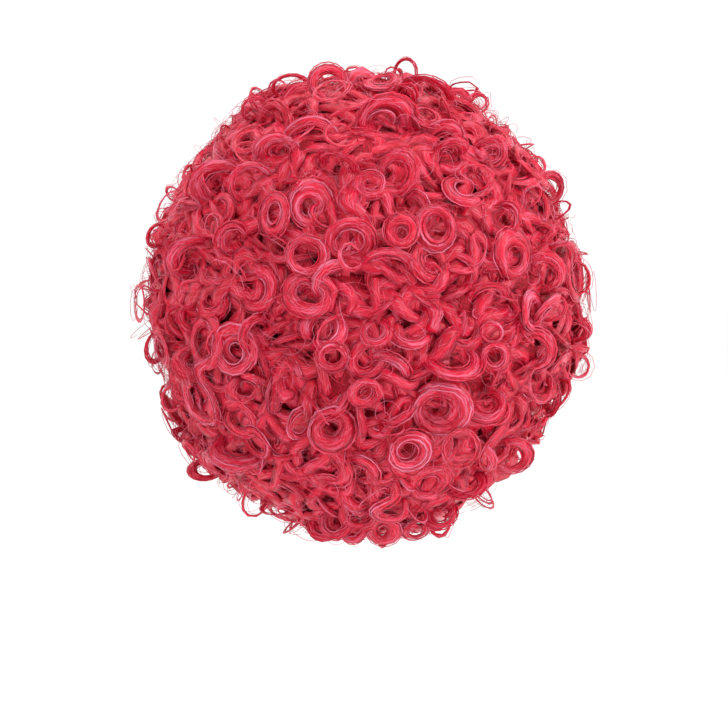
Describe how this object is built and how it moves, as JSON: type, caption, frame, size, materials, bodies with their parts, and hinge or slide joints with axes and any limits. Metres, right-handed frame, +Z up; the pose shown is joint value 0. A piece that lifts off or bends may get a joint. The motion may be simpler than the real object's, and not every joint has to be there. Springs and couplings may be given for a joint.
{
  "type": "curly clown wig",
  "caption": "Round ball of permed synthetic hair in curled locks, sewn in rows round a thin net cap with an elastic band in its edge, open below for a head.",
  "frame": {"origin": "middle of the head that the cap fits, at the height of the hat line", "axes": "+Z up through the crown of the head, -Y towards the wearer's face, +X towards the wearer's left ear"},
  "size_m": [0.3414, 0.3357, 0.3597],
  "materials": {
    "cap_net": "knitted nylon net, matte",
    "elastic": "woven elastic tape, matte",
    "hair": "permed synthetic fibre in curled locks, satin"
  },
  "bodies": {
    "root": {"cap": "cap_net", "rim_band": "elastic", "weft_row_1": "hair", "weft_row_2": "hair", "weft_row_3": "hair", "weft_row_4": "hair", "weft_row_5": "hair", "weft_row_6": "hair", "weft_row_7": "hair", "weft_row_8": "hair"}
  },
  "joints": []
}
